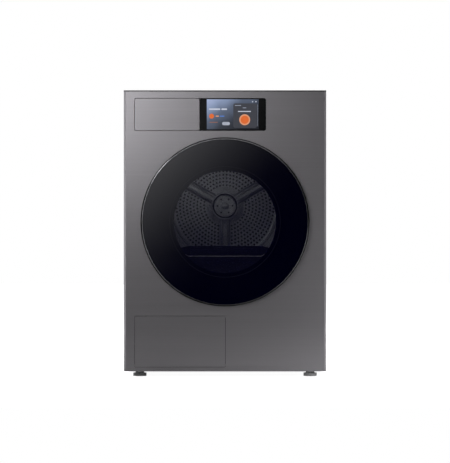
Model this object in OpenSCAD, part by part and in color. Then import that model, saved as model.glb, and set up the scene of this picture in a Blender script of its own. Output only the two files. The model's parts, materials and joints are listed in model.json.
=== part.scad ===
// Freestanding heat-pump clothes dryer with a round front-loading door, a condensate
// drawer and a touch display along the top, and a service flap at the bottom left.
// Frame: origin on the floor below the middle of the machine, +Z up, front towards -Y,
// +X to the right of a person facing the door. Everything is in millimetres.

/* [Cabinet] */
// Width over the side panels
cabinet_w = 600; // [598:1:606]
// Height from the floor to the top of the cover
cabinet_h = 850; // [850:1:860]
// Depth from the front panel's face to the rear panel's face
cabinet_d = 600; // [600:1:610]
// Height of the feet when they are screwed right in
foot_h = 17; // [15:1:19]
// Thickness of the steel sheet
sheet = 1.2; // [0.8:0.1:1.5]
// Width of the bevel down each side of the front panel
bevel_w = 6; // [4:0.5:7]
// How far the rear duct cover stands out from the rear panel
duct_proud = 22; // [18:1:24]

/* [Door] */
// Height of the door's centre above the floor
door_z = 460; // [458:1:462]
// Outer radius of the door's metal ring
ring_r = 246; // [243:1:247]
// How far the door's glass stands out from the front panel
door_proud = 28; // [26:1:30]
// Gap between the door ring and the front panel
door_gap = 4.5; // [4:0.5:5]
// Radius of the hole that laundry goes through
throat_r = 178; // [176:1:180]
// Distance from the door's centre line to its hinge pin
hinge_x = 228; // [226:1:229]

/* [Drum] */
// Outer radius of the drum
drum_r = 282; // [278:1:283]
// Height of the drum's axis above the floor
drum_z = 515; // [513:1:516]
// Length of the drum along its axis
drum_l = 446; // [430:1:448]
// Radius of the perforated plate in the drum's rear wall
plate_r = 174; // [170:1:176]

/* [Drawer and display] */
// Height of the recess that the drawer and display share
recess_h = 97; // [94:1:98]
// Width of the drawer front
fascia_w = 194; // [190:1:195]
// Width of the black display bezel
bezel_w = 196; // [190:1:197]
// Width of the display screen
screen_w = 154; // [150:1:156]
// Height of the display screen
screen_h = 89; // [86:1:90]
// Distance from the cabinet's top edge to the recess
recess_drop = 23; // [23:1:25]

/* [Service flap] */
// Width of the flap's opening
flap_w = 270; // [266:1:272]
// Height of the flap's opening
flap_h = 152.6; // [148:0.2:153]

/* [Hidden] */
$fn = 96;

// Planes of the cabinet
half_w = cabinet_w / 2;
overall_d = cabinet_d + door_proud + duct_proud;
door_y = -overall_d / 2;
front_y = door_y + door_proud;
rear_y = front_y + cabinet_d;
cover_y = rear_y + duct_proud;
cover_edge = 3.5;
cover_z = cabinet_h - cover_edge;
panel_return = 20;
inner_y = front_y + panel_return;
bevel_d = 4;
joint_gap = 0.3;
fit = 0.05;

// Door, from the glass back to the liner
ring_w = 2.8;
glass_t = 6;
glass_back = door_y + glass_t;
ring_back = door_y + 12;
frame_r = ring_r - 0.5;
frame_wall = 8.5;
frame_back = front_y + 7;
frame_sheet = 3;
liner_r = throat_r - 6;
liner_wall = 6;
liner_back = inner_y - 2;
window_back = inner_y - 4;
window_t = 4;
hinge_y = door_y + 13;
hinge_half = 20;
pin_r = 4;
eye_r = 6;
neck_x = hinge_x - 20;
grip_half = 60;
grip_depth = 15;

// Front bulkhead and the recess round the door
cutout_r = ring_r + door_gap;
floor_t = 3;
plate_y = inner_y + floor_t;
plate_t = 12;
collar_y = plate_y + 71;
collar_r = 232;
collar_t = 6;
throat_wall = 4;
lip_z = door_z - 100.5;
lip_half = 108;
lip_rise = tan(30);
filter_half = 105;
pocket_half = filter_half + 3;
pocket_front = front_y + 51;
pocket_back = pocket_front + 30;
pocket_wall = 3.5;
pocket_low = 186;
filter_rear_z = lip_z + 29;

// Drum along its axis
drum_front = front_y + 89;
drum_back_y = drum_front + drum_l;
drum_sheet = 1.2;
drum_lip_r = collar_r + 5;
shaft_r = 12;
hub_r = 45;
lifter_h = 52;
lifter_half = 32;

// Drive: motor pulley, belt, idler and support rollers
motor_x = 150;
motor_z = 120;
motor_r = 52;
motor_front = -20;
motor_back = 110;
pulley_r = 6;
motor_shaft_r = 5;
belt_y = -45;
belt_w = 9;
belt_t = 3;
belt_clear = 0.3;
idler_r = 20;
idler_reach = 66;
roller_r = 25;
roller_angle = 35;
roller_y = drum_front + 3;
roller_w = 20;
axle_r = 5;
fan_r = 78;
fan_front = 192;
fan_back = 238;

// Heat exchangers on the left of the base
hx_left = -238;
hx_right = -58;
hx_low = 36;
hx_high = 182;
hx_front = inner_y + 9;
hx_back = 30;
hx_wall = 3;
lid_left = -265;
lid_right = 8;
latch_x = [-248, -25];
pipe_r = 5;
pipe_y = [-165, -115];
pipe_z = [70, 130];
compressor_x = 205;
compressor_y = -150;
compressor_r = 54;

// Recess of the drawer and display
recess_top = cabinet_h - recess_drop;
recess_low = recess_top - recess_h;
recess_left = -half_w + 31;
fascia_right = recess_left + fascia_w;
recess_right = fascia_right + bezel_w + 0.5;
reveal = 1.5;
screen_left = fascia_right + 21;
screen_low = recess_low + 4.5;
tank_back = 208;
tray_r = drum_r + 6;
tray_t = 2.5;
tank_under_r = tray_r + tray_t + 1.5;
latch_travel = 3;

// Service flap
flap_left = -half_w + 31.7;
flap_low = foot_h + 12.2;
flap_gap = 1;
flap_t = 12;
flap_axis_y = front_y + 3;
flap_axis_z = flap_low + 6.8;

// Feet
foot_x = 255;
foot_front_y = -240;
foot_back_y = 262;
stud_r = 5;
stud_top = foot_h + 26;
boss_top = foot_h + 28;
pan_floor = 6;
pan_wall = 4;
pan_high = 60;

// A box given by its limits along X, Y and Z
module slab(x, y, z) {
    translate([x[0], y[0], z[0]]) cube([x[1] - x[0], y[1] - y[0], z[1] - z[0]]);
}

// An outline drawn in X and Z, extruded along Y from one plane to another
module along_y(y0, y1) {
    translate([0, y1, 0]) rotate([90, 0, 0]) linear_extrude(y1 - y0) children();
}

// A round bar along Y
module bar_y(x, z, r, y0, y1) {
    translate([x, y0, z]) rotate([-90, 0, 0]) cylinder(r = r, h = y1 - y0);
}

// A round bar along X
module bar_x(x0, x1, y, z, r) {
    translate([x0, y, z]) rotate([0, 90, 0]) cylinder(r = r, h = x1 - x0);
}

// An outline of radius and Y turned about an axis along Y
module turned_y(x, z) {
    translate([x, 0, z]) rotate([-90, 0, 0]) rotate_extrude() children();
}

// A flat ring along Y
module ring_y(x, z, r_in, r_out, y0, y1) {
    difference() {
        bar_y(x, z, r_out, y0, y1);
        bar_y(x, z, r_in, y0 - 1, y1 + 1);
    }
}

// A rectangle in the X and Z plane with round corners
module round_rect(x0, x1, z0, z1, r) {
    translate([x0 + r, z0]) square([x1 - x0 - 2 * r, z1 - z0]);
    translate([x0, z0 + r]) square([x1 - x0, z1 - z0 - 2 * r]);
    for (x = [x0 + r, x1 - r], z = [z0 + r, z1 - r]) translate([x, z]) circle(r);
}

// The loading throat: a circle with a flat lip at the bottom, grown by a margin
module throat_outline(margin) {
    low = lip_z - margin;
    side = throat_r + 20;
    intersection() {
        translate([0, door_z]) circle(throat_r + margin);
        polygon([
            [-lip_half, low], [lip_half, low], [side, low + (side - lip_half) * lip_rise],
            [side, door_z + side], [-side, door_z + side],
            [-side, low + (side - lip_half) * lip_rise]
        ]);
    }
}

// ---------------------------------------------------------------- cabinet

module front_panel() {
    lug_y = [front_y + sheet - 0.2, front_y + 7];
    lug_z = [flap_axis_z - 4, flap_axis_z + 4];
    color("#6a6770") {
        difference() {
            translate([0, 0, foot_h]) linear_extrude(cover_z - foot_h) polygon([
                [-half_w, front_y + bevel_d], [-half_w + bevel_w, front_y],
                [half_w - bevel_w, front_y], [half_w, front_y + bevel_d],
                [half_w, inner_y], [-half_w, inner_y]
            ]);
            translate([0, 0, foot_h + sheet]) linear_extrude(cover_z - foot_h - 2 * sheet)
                polygon([
                    [-half_w + sheet, front_y + bevel_d + sheet],
                    [-half_w + bevel_w + sheet, front_y + sheet],
                    [half_w - bevel_w - sheet, front_y + sheet],
                    [half_w - sheet, front_y + bevel_d + sheet],
                    [half_w - sheet, inner_y + 1], [-half_w + sheet, inner_y + 1]
                ]);
            bar_y(0, door_z, cutout_r, front_y - 1, inner_y + 1);
            along_y(front_y - 1, front_y + sheet + 1)
                round_rect(recess_left, recess_right, recess_low, recess_top, 6);
            along_y(front_y - 1, front_y + sheet + 1)
                round_rect(flap_left, flap_left + flap_w, flap_low, flap_low + flap_h, 3);
            slab([-half_w + 20, half_w - 20], [front_y + 6, inner_y + 1],
                [foot_h - 1, foot_h + sheet + 1]);
        }
        for (side = [0, 1]) translate([flap_left + side * flap_w, 0, 0]) mirror([side, 0, 0]) {
            slab([-3, 0], lug_y, lug_z);
            bar_x(-2, flap_gap + 12, flap_axis_y, flap_axis_z, 2);
        }
    }
}

module side_panel(side) {
    color("#4a4a4e") mirror([side > 0 ? 1 : 0, 0, 0]) {
        slab([-half_w, -half_w + sheet], [inner_y + joint_gap, rear_y], [foot_h, cover_z]);
        slab([-half_w + sheet, -half_w + 14], [inner_y + joint_gap, inner_y + joint_gap + sheet],
            [pan_high + 2, cover_z - 2]);
        slab([-half_w + sheet, -half_w + 14], [rear_y - 2 * sheet - joint_gap, rear_y - sheet - joint_gap],
            [pan_high + 2, cover_z - 2]);
    }
}

module top_cover() {
    rim_out = 286;
    rim_in = 282;
    rim_front = inner_y + 6;
    rim_back = rear_y - 12;
    rim_low = cover_z - 12;
    color("#58565c") {
        slab([-half_w, half_w], [front_y, rear_y], [cover_z, cabinet_h]);
        difference() {
            slab([-rim_out, rim_out], [rim_front, rim_back], [rim_low, cover_z]);
            slab([-rim_in, rim_in], [rim_front + 4, rim_back - 4], [rim_low - 1, cover_z]);
        }
    }
}

vent_rows = 7;
vent_pitch = 14;
vent_low = 70;
duct_r = 240;
neck_half = 70;
neck_low = 62;
gland_x = -200;
gland_z = 760;
spigot_x = -230;
spigot_z = 690;

module vent_slots(x, low, rows, width) {
    for (row = [0:rows - 1])
        slab([x - width / 2, x + width / 2], [rear_y - sheet - 1, rear_y + 1],
            [low + row * vent_pitch, low + row * vent_pitch + 6]);
}

module rear_panel() {
    edge = half_w - sheet - joint_gap;
    color("#8b8d90") difference() {
        slab([-edge, edge], [rear_y - sheet, rear_y], [foot_h + 8, cover_z - joint_gap]);
        bar_y(0, drum_z, duct_r - 12, rear_y - 2, rear_y + 1);
        slab([motor_x - neck_half + 12, motor_x + neck_half - 12], [rear_y - 2, rear_y + 1],
            [neck_low + 12, 300]);
        vent_slots(-150, vent_low, vent_rows, 150);
        vent_slots(-235, 400, vent_rows, 60);
        bar_y(gland_x, gland_z, 11, rear_y - 2, rear_y + 1);
        bar_y(spigot_x, spigot_z, 9, rear_y - 2, rear_y + 1);
    }
}

module duct_outline(margin) {
    translate([0, drum_z]) circle(duct_r + margin);
    translate([motor_x - neck_half - margin, neck_low - margin])
        square([2 * (neck_half + margin), 380]);
}

module rear_duct_cover() {
    wall = 2;
    color("#9a9c9f") difference() {
        union() {
            along_y(rear_y, cover_y) duct_outline(0);
            along_y(rear_y, rear_y + wall) duct_outline(14);
        }
        along_y(rear_y - 1, cover_y - wall) duct_outline(-wall);
    }
}

module base_pan() {
    edge = half_w - sheet - joint_gap;
    back = rear_y - sheet - joint_gap;
    front = inner_y + joint_gap;
    color("#2b2b2d") difference() {
        union() {
            difference() {
                slab([-edge, edge], [front, back], [foot_h, pan_high]);
                slab([-edge + pan_wall, edge - pan_wall], [front + pan_wall, back - pan_wall],
                    [foot_h + pan_floor, pan_high + 1]);
                slab([lid_left - 1, lid_right + 1], [front - 1, front + pan_wall + 1],
                    [foot_h + 14, pan_high + 1]);
                slab([motor_x - fan_r - 11, motor_x + fan_r + 11], [back - pan_wall - 1, back + 1],
                    [foot_h + pan_floor, pan_high + 1]);
            }
            for (x = [-foot_x, foot_x], y = [foot_front_y, foot_back_y])
                translate([x, y, foot_h + pan_floor]) cylinder(r = 14, h = boss_top - foot_h - pan_floor);
        }
        for (x = [-foot_x, foot_x], y = [foot_front_y, foot_back_y])
            translate([x, y, foot_h - 1]) cylinder(r = stud_r + fit, h = pan_high);
    }
}

// A levelling foot: a pad, a hexagon for the spanner and a stud that screws into the base
module foot(x, y) {
    pad_h = 9;
    color("#202022") translate([x, y, 0]) {
        cylinder(r = 20, h = pad_h);
        translate([0, 0, pad_h]) cylinder(r = 13, h = foot_h - pad_h, $fn = 6);
        translate([0, 0, foot_h]) cylinder(r = stud_r, h = stud_top - foot_h);
    }
}

module rear_screws() {
    edge = half_w - 9;
    color("silver") {
        for (x = [-edge, edge], z = [60:120:780])
            bar_y(x, z, 4, rear_y, rear_y + 2.2);
        for (angle = [20:40:340])
            bar_y((duct_r + 8) * sin(angle), drum_z + (duct_r + 8) * cos(angle), 3.5,
                rear_y + 2, rear_y + 4.2);
    }
}

module cable_gland() {
    color("#1c1c1e") difference() {
        union() {
            bar_y(gland_x, gland_z, 10.7, rear_y - 14, rear_y + 3);
            bar_y(gland_x, gland_z, 16, rear_y, rear_y + 4);
            bar_y(gland_x, gland_z, 9, rear_y, rear_y + 16);
        }
        bar_y(gland_x, gland_z, 4, rear_y - 15, rear_y + 17);
    }
}

module drain_spigot() {
    color("#d8d8d4") difference() {
        union() {
            bar_y(spigot_x, spigot_z, 8.7, rear_y - 12, rear_y + 3);
            bar_y(spigot_x, spigot_z, 13, rear_y, rear_y + 2.5);
            bar_y(spigot_x, spigot_z, 6, rear_y, rear_y + 20);
        }
        bar_y(spigot_x, spigot_z, 4, rear_y - 13, rear_y + 21);
    }
}

// ---------------------------------------------------------------- round the door

module door_surround() {
    wall_r = cutout_r + 3;
    color("#3c3b40") difference() {
        union() {
            ring_y(0, door_z, cutout_r, wall_r, front_y + sheet + joint_gap, plate_y);
            along_y(inner_y, plate_y) difference() {
                translate([0, door_z]) circle(wall_r);
                throat_outline(throat_wall + joint_gap);
            }
        }
        slab([-228, -206], [inner_y - 1, plate_y + 1], [door_z - 12, door_z + 12]);
    }
}

// The wall behind the filter, highest in the middle, as wide as the throat
module sill_outline() {
    shoulder = filter_half + 9;
    drop = (throat_r - shoulder) * 0.28;
    polygon([
        [-throat_r, lip_z - 10], [throat_r, lip_z - 10], [throat_r, filter_rear_z - 1 - drop],
        [shoulder, filter_rear_z - 1], [-shoulder, filter_rear_z - 1],
        [-throat_r, filter_rear_z - 1 - drop]
    ]);
}

module front_bulkhead() {
    edge = half_w - 12;
    color("#d4d2cd") {
        difference() {
            union() {
                along_y(plate_y, plate_y + plate_t) difference() {
                    union() {
                        translate([-edge, hx_high + 14])
                            square([2 * edge, recess_low - hx_high - 20]);
                        translate([fascia_right + 4, recess_low - 10])
                            square([edge - fascia_right - 4, recess_h]);
                    }
                }
                ring_y(0, drum_z, collar_r - collar_t, collar_r, plate_y + plate_t, collar_y);
                along_y(inner_y, collar_y - 2) throat_outline(throat_wall);
                slab([-pocket_half - pocket_wall, pocket_half + pocket_wall],
                    [pocket_front - pocket_wall, pocket_back + pocket_wall],
                    [pocket_low, lip_z]);
                along_y(pocket_back, pocket_back + pocket_wall) intersection() {
                    throat_outline(0.5);
                    sill_outline();
                }
            }
            along_y(inner_y - 1, pocket_back) throat_outline(0);
            along_y(pocket_back + pocket_wall, collar_y) throat_outline(0);
            along_y(pocket_back - 1, pocket_back + pocket_wall + 1) difference() {
                throat_outline(0);
                sill_outline();
            }
            slab([-pocket_half, pocket_half], [pocket_front, pocket_back],
                [pocket_low - 1, filter_rear_z + 20]);
            slab([-234, -200], [plate_y - 1, plate_y + plate_t + 1], [door_z - 20, door_z + 20]);
        }
        for (side = [-1, 1])
            bar_y(side * roller_x, roller_z, axle_r, plate_y + plate_t, roller_y + roller_w + 4);
    }
}

roller_x = (drum_r + roller_r + belt_clear) * sin(roller_angle);
roller_z = drum_z - (drum_r + roller_r + belt_clear) * cos(roller_angle);

module roller(side) {
    color("#2a2a2c") ring_y(side * roller_x, roller_z, axle_r + fit, roller_r,
        roller_y, roller_y + roller_w);
}

module drum_seals() {
    color("#b8ad96") {
        ring_y(0, drum_z, collar_r, drum_lip_r - joint_gap, drum_front - 2, collar_y);
        ring_y(0, drum_z, plate_r + 8, plate_r + 16, drum_back_y + joint_gap, rear_plate_y);
    }
}

module moisture_sensor() {
    color("silver") for (z = [0, 12])
        slab([-40, 40], [collar_y - 2, collar_y - 0.5], [lip_z - 24 - z, lip_z - 19 - z]);
}

module door_catch() {
    color("#e4e2dd") difference() {
        slab([-233, -201], [plate_y, plate_y + plate_t], [door_z - 19, door_z + 19]);
        slab([-228, -206], [plate_y - 1, plate_y + plate_t - 3], [door_z - 12, door_z + 12]);
    }
}

// Hinge bracket on the cabinet, with the pin that the door's leaf turns on
module door_hinge_bracket() {
    arm_t = 9;
    neck_t = 5;
    color("#9b9ca0") {
        slab([neck_x - 8, hinge_x + 12], [inner_y - 3, inner_y], [door_z - 38, door_z + 38]);
        for (side = [-1, 1]) {
            mid = door_z + side * (hinge_half + 1 + arm_t / 2);
            z = [mid - arm_t / 2, mid + arm_t / 2];
            translate([hinge_x, hinge_y, z[0]]) cylinder(r = eye_r, h = arm_t);
            slab([neck_x - neck_t / 2, hinge_x], [hinge_y - neck_t / 2, hinge_y + neck_t / 2], z);
            slab([neck_x - neck_t / 2, neck_x + neck_t / 2], [hinge_y - neck_t / 2, inner_y], z);
        }
        translate([hinge_x, hinge_y, door_z - 30]) cylinder(r = pin_r, h = 60);
    }
}

// ---------------------------------------------------------------- door

module door_glass() {
    glass_r = ring_r - ring_w;
    color("#101014") turned_y(0, door_z) polygon([
        [0, door_y], [glass_r - 1, door_y], [glass_r, door_y + 1], [glass_r, glass_back],
        [0, glass_back]
    ]);
}

module door_ring() {
    inner = ring_r - ring_w + 0.2;
    color("#a9a9ad") turned_y(0, door_z) polygon([
        [inner, door_y], [ring_r - 0.8, door_y], [ring_r, door_y + 0.8], [ring_r, ring_back],
        [inner, ring_back]
    ]);
}

module door_frame() {
    flange_r = ring_r - ring_w;
    inner_r = liner_r + joint_gap;
    wall_in = frame_r - frame_wall;
    grip_z = [door_z - grip_half, door_z + grip_half];
    color("#141416") {
        difference() {
            union() {
                turned_y(0, door_z) polygon([
                    [inner_r, glass_back], [flange_r, glass_back], [flange_r, ring_back],
                    [frame_r, ring_back], [frame_r, frame_back], [inner_r, frame_back],
                    [inner_r, frame_back - frame_sheet], [wall_in, frame_back - frame_sheet],
                    [wall_in, glass_back + frame_sheet], [inner_r, glass_back + frame_sheet]
                ]);
            }
            slab([-frame_r - 1, -frame_r + grip_depth], [ring_back, frame_back + 1], grip_z);
            slab([hinge_x - 62, frame_r + 1], [glass_back - 1, frame_back + 1],
                [door_z - 42, door_z + 42]);
        }
        slab([-frame_r + grip_depth, -frame_r + grip_depth + 3],
            [glass_back + frame_sheet, frame_back - frame_sheet], grip_z);
        slab([-222, -213], [frame_back, inner_y + 9], [door_z - 7, door_z + 7]);
    }
}

module door_liner() {
    color("#1b1b1e") turned_y(0, door_z) polygon([
        [liner_r - liner_wall, glass_back], [liner_r, glass_back], [liner_r, liner_back - 6],
        [liner_r - 4, liner_back], [liner_r - liner_wall, liner_back]
    ]);
}

module door_window() {
    rim = liner_r - liner_wall - 0.2;
    rim_y = liner_back - 24;
    slope = rim - 10;
    foot = rim - 34;
    color("#3a3a44") turned_y(0, door_z) polygon([
        [rim, rim_y], [rim, rim_y + window_t], [slope, rim_y + window_t],
        [foot, window_back], [0, window_back], [0, window_back - window_t],
        [foot - 2, window_back - window_t], [slope - 3, rim_y]
    ]);
}

module door_seal() {
    color("#2b2b2d") turned_y(0, door_z) polygon([
        [liner_r + 14, frame_back], [liner_r + 24, frame_back], [liner_r + 22, inner_y - joint_gap],
        [liner_r + 17, inner_y - joint_gap]
    ]);
}

module door_hinge_leaf() {
    knuckle_z = [door_z - hinge_half, door_z + hinge_half];
    color("#9b9ca0") difference() {
        union() {
            slab([liner_r + 1, neck_x - 5], [glass_back, glass_back + 3.5], [door_z - 40, door_z + 40]);
            slab([neck_x - 6, hinge_x - 2], [glass_back, glass_back + 3.5], knuckle_z);
            translate([hinge_x, hinge_y, knuckle_z[0]]) cylinder(r = eye_r, h = 2 * hinge_half);
        }
        translate([hinge_x, hinge_y, knuckle_z[0] - 1])
            cylinder(r = pin_r + fit, h = 2 * hinge_half + 2);
    }
}

// ---------------------------------------------------------------- drum and drive

module drum_shell() {
    inner = drum_r - drum_sheet;
    color("#a7a9ac") turned_y(0, drum_z) polygon([
        [drum_lip_r, drum_front], [drum_r, drum_front], [drum_r, drum_back_y],
        [plate_r + 2, drum_back_y], [plate_r + 2, drum_back_y - drum_sheet],
        [inner, drum_back_y - drum_sheet], [inner, drum_front + drum_sheet],
        [drum_lip_r, drum_front + drum_sheet]
    ]);
}

module drum_back() {
    rim = 4;
    spoke_half = 15;
    plate_front = drum_back_y - 5;
    holes = 9;
    color("#8f9195") difference() {
        union() {
            bar_y(0, drum_z, plate_r, plate_front, plate_front + 1.5);
            ring_y(0, drum_z, plate_r - rim, plate_r + 1.8, plate_front, drum_back_y);
            for (angle = [0, 120, 240])
                translate([0, 0, drum_z]) rotate([0, angle, 0])
                    slab([-spoke_half, spoke_half], [plate_front - 6, plate_front + 0.5],
                        [-plate_r + rim - 1, -hub_r]);
        }
        for (angle = [60, 180, 300], spread = [-30:10:30], row = [0:3])
            translate([0, 0, drum_z]) rotate([0, angle + spread, 0])
                translate([0, plate_front - 1, -plate_r + 20 + row * 23]) rotate([-90, 0, 0])
                    cylinder(r = holes / 2, h = 4);
    }
}

module hub_cap() {
    color("#6f7175") turned_y(0, drum_z) polygon([
        [0, drum_back_y - 17], [hub_r - 12, drum_back_y - 17], [hub_r, drum_back_y - 12],
        [hub_r, drum_back_y - 5], [0, drum_back_y - 5]
    ]);
}

module drum_shaft() {
    color("#77797c") {
        bar_y(0, drum_z, shaft_r, drum_back_y - 3.5, rear_y - 3);
        ring_y(0, drum_z, shaft_r, 60, drum_back_y - 3.5, drum_back_y + 4);
    }
}

// Three lifters inside the drum wall, each a blunt ridge along the axis
module drum_lifters() {
    seat = drum_r - drum_sheet - 2;
    color("#3a3b3e") for (angle = [0, 120, 240])
        translate([0, 0, drum_z]) rotate([0, angle, 0])
            along_y(drum_front + 20, drum_back_y - 12) polygon([
                [-lifter_half, -seat], [lifter_half, -seat], [10, -seat + lifter_h],
                [-10, -seat + lifter_h]
            ]);
}

// Where a belt's straight run leaves the drum side and the pulley side
belt_run = sqrt(motor_x * motor_x + (drum_z - motor_z) * (drum_z - motor_z));
belt_heading = atan2(motor_z - drum_z, motor_x);
belt_spread = acos((drum_r - pulley_r) / belt_run);

function belt_point(centre, radius, side) = [
    centre[0] + radius * cos(belt_heading + side * belt_spread),
    centre[1] + radius * sin(belt_heading + side * belt_spread)
];

// Everything inside a belt line round the drum and the motor pulley. The straight sides
// lie a hair inside the true tangents, so that they cross the circles cleanly.
module belt_area(margin) {
    drum_c = [0, drum_z];
    motor_c = [motor_x, motor_z];
    hair = 0.05;
    big = drum_r + margin - hair;
    small = pulley_r + margin - hair;
    translate(drum_c) circle(drum_r + margin);
    translate(motor_c) circle(pulley_r + margin);
    polygon([
        belt_point(drum_c, big, 1), belt_point(motor_c, small, 1),
        belt_point(motor_c, small, -1), belt_point(drum_c, big, -1)
    ]);
}

module drum_belt() {
    front = belt_y - belt_w / 2;
    back = belt_y + belt_w / 2;
    color("#1a1a1a") difference() {
        along_y(front, back) belt_area(belt_clear + belt_t);
        along_y(front - 1, back + 1) belt_area(belt_clear);
    }
}

module motor() {
    color("#5c6066") {
        ring_y(motor_x, motor_z, motor_shaft_r + fit, motor_r, motor_front, motor_back);
        bar_y(idler_pivot[0], idler_pivot[1], 6, belt_y + 7, motor_front);
        for (y = [motor_front + 12, motor_back - 24])
            difference() {
                slab([motor_x - 40, motor_x + 40], [y, y + 12], [foot_h + pan_floor, motor_z - 10]);
                bar_y(motor_x, motor_z, motor_r, y - 1, y + 13);
            }
    }
}

module motor_shaft() {
    color("silver") {
        bar_y(motor_x, motor_z, motor_shaft_r, belt_y - 10, fan_back);
        bar_y(motor_x, motor_z, pulley_r, belt_y - 7, belt_y + 7);
    }
}

module blower_wheel() {
    blades = 20;
    color("#dad8d2") {
        ring_y(motor_x, motor_z, motor_shaft_r + fit, 14, fan_front + 4, fan_back - 3);
        ring_y(motor_x, motor_z, 13, fan_r, fan_back - 4, fan_back - 1);
        for (blade = [0:blades - 1])
            translate([motor_x, 0, motor_z]) rotate([0, blade * 360 / blades, 0])
                slab([50, fan_r - 1], [fan_front, fan_back - 3], [-1, 1]);
    }
}

module blower_housing() {
    wall = 3;
    out_r = fan_r + 10;
    front = fan_front - 6;
    back = rear_y - sheet - joint_gap;
    low = foot_h + pan_floor;
    color("#3b3c40") difference() {
        union() {
            bar_y(motor_x, motor_z, out_r, front, back);
            slab([motor_x - out_r, motor_x + out_r], [front, back], [low, motor_z]);
        }
        bar_y(motor_x, motor_z, out_r - wall, front + wall, back + 1);
        bar_y(motor_x, motor_z, 50, front - 1, front + wall + 1);
    }
}

// A point below the belt's lower run, where the idler's centre line lies
function below_run(distance) =
    let (
        near = belt_point([motor_x, motor_z], pulley_r, -1),
        far = belt_point([0, drum_z], drum_r, -1),
        along = (far - near) / norm(far - near),
        outward = [cos(belt_heading - belt_spread), sin(belt_heading - belt_spread)]
    ) near + along * distance + outward * (belt_t + 2 * belt_clear + idler_r);

idler_at = below_run(58);
idler_x = idler_at[0];
idler_z = idler_at[1];
idler_pivot = below_run(58 - idler_reach);

module idler_arm() {
    arm_y = [belt_y + 9, belt_y + 14];
    tilt = atan2(idler_z - idler_pivot[1], idler_x - idler_pivot[0]);
    color("#8c8e92") translate([idler_pivot[0], 0, idler_pivot[1]]) rotate([0, -tilt, 0]) {
        ring_y(0, 0, 6 + fit, 12, arm_y[0], arm_y[1]);
        slab([11, idler_reach + 9], [arm_y[0] + 1, arm_y[1] - 1], [-7, 7]);
        bar_y(idler_reach, 0, 5, belt_y - 9, arm_y[1] - 2);
    }
}

module idler_pulley() {
    color("#d9d6cf") ring_y(idler_x, idler_z, 5 + fit, idler_r, belt_y - 7, belt_y + 7);
}

module rear_bulkhead() {
    edge = half_w - 8;
    passages = 6;
    color("#c3c5c7") {
        difference() {
            slab([-edge, edge], [rear_plate_y, rear_plate_y + 3], [260, 826]);
            bar_y(0, drum_z, 26, rear_plate_y - 1, rear_plate_y + 4);
            for (k = [0:passages - 1])
                bar_y(112 * sin(k * 60), drum_z + 112 * cos(k * 60), 46,
                    rear_plate_y - 1, rear_plate_y + 4);
        }
        ring_y(0, drum_z, 24, 40, rear_plate_y, rear_plate_y + 16);
    }
}

rear_plate_y = drum_back_y + 26;

module rear_bearing() {
    color("#b99b5a") ring_y(0, drum_z, shaft_r + fit, 24, rear_plate_y, rear_plate_y + 16);
}

// ---------------------------------------------------------------- base

module hx_duct() {
    color("#35363a") difference() {
        slab([hx_left, hx_right], [hx_front + 14, hx_back], [foot_h + pan_floor, hx_high + 3]);
        slab([hx_left + hx_wall, hx_right - hx_wall], [hx_front + 13, hx_back + 1],
            [foot_h + pan_floor + hx_wall, hx_high]);
        for (k = [0, 1]) bar_x(hx_right - hx_wall - 1, hx_right + 1, pipe_y[k], pipe_z[k], pipe_r + fit);
        slab([-pocket_half, hx_right - hx_wall], [pocket_front, pocket_back], [hx_high - 1, hx_high + 4]);
    }
}

module evaporator() {
    color("#c9ccd0") slab([hx_left + 5, hx_right - 5], [hx_front + 50, hx_front + 130],
        [hx_low, hx_high - 4]);
}

module condenser() {
    color("#c9ccd0") slab([hx_left + 5, hx_right - 5], [hx_front + 145, hx_back - 4],
        [hx_low, hx_high - 4]);
}

module refrigerant_pipes() {
    color("#b5703a") difference() {
        for (k = [0, 1]) bar_x(hx_right - 4.7, compressor_x, pipe_y[k], pipe_z[k], pipe_r);
        translate([compressor_x, compressor_y, 0]) cylinder(r = compressor_r, h = 200);
    }
}

module compressor() {
    low = foot_h + pan_floor;
    color("#1d1e20") translate([compressor_x, compressor_y, low]) {
        cylinder(r = 60, h = 8);
        translate([0, 0, 8]) cylinder(r = compressor_r, h = 160);
        translate([0, 0, 168]) cylinder(r1 = compressor_r, r2 = 34, h = 18);
        translate([0, 0, 186]) cylinder(r = 12, h = 10);
    }
}

module condensate_pump() {
    low = foot_h + pan_floor;
    color("#e0ded8") {
        slab([-262, -190], [70, 140], [low, low + 42]);
        translate([-226, 105, low + 42]) cylinder(r = 26, h = 34);
        translate([-226, 105, low + 76]) cylinder(r = 6, h = 14);
    }
}

module hx_cover() {
    plate = [inner_y + 1, inner_y + 8];
    color("#55565b") {
        difference() {
            slab([lid_left, lid_right], plate, [flap_low + 10, flap_low + flap_h - 6]);
            for (x = latch_x)
                bar_y(x, flap_low + 90, 6 + fit, plate[0] - 1, plate[1] + 1);
        }
    }
}

// A quarter-turn latch: a thumb bar in front and a tongue behind the cover
module hx_latch(x) {
    z = flap_low + 90;
    color("#2f6fb0") {
        bar_y(x, z, 6, inner_y + 1, inner_y + 8);
        bar_y(x, z, 12, inner_y - 1.5, inner_y + 1);
        slab([x - 12, x + 12], [inner_y + 8, inner_y + 11], [z - 5, z + 5]);
    }
}

// ---------------------------------------------------------------- drawer, display, filter

module display_bezel() {
    left = fascia_right + reveal;
    right = recess_right - 0.5;
    back = front_y + 18;
    low = recess_low + 0.5;
    high = recess_top - 0.5;
    color("#060608") difference() {
        along_y(front_y, back) round_rect(left, right, low, high, 5);
        slab([screen_left, screen_left + screen_w], [front_y - 1, front_y + 3],
            [screen_low, screen_low + screen_h]);
        slab([left + 4, right - 4], [front_y + 6, back + 1], [low + 4, high - 4]);
    }
}

module display_screen() {
    color("#6f7ba0") slab([screen_left + 0.1, screen_left + screen_w - 0.1],
        [front_y, front_y + 3], [screen_low + 0.1, screen_low + screen_h - 0.1]);
}

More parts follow.
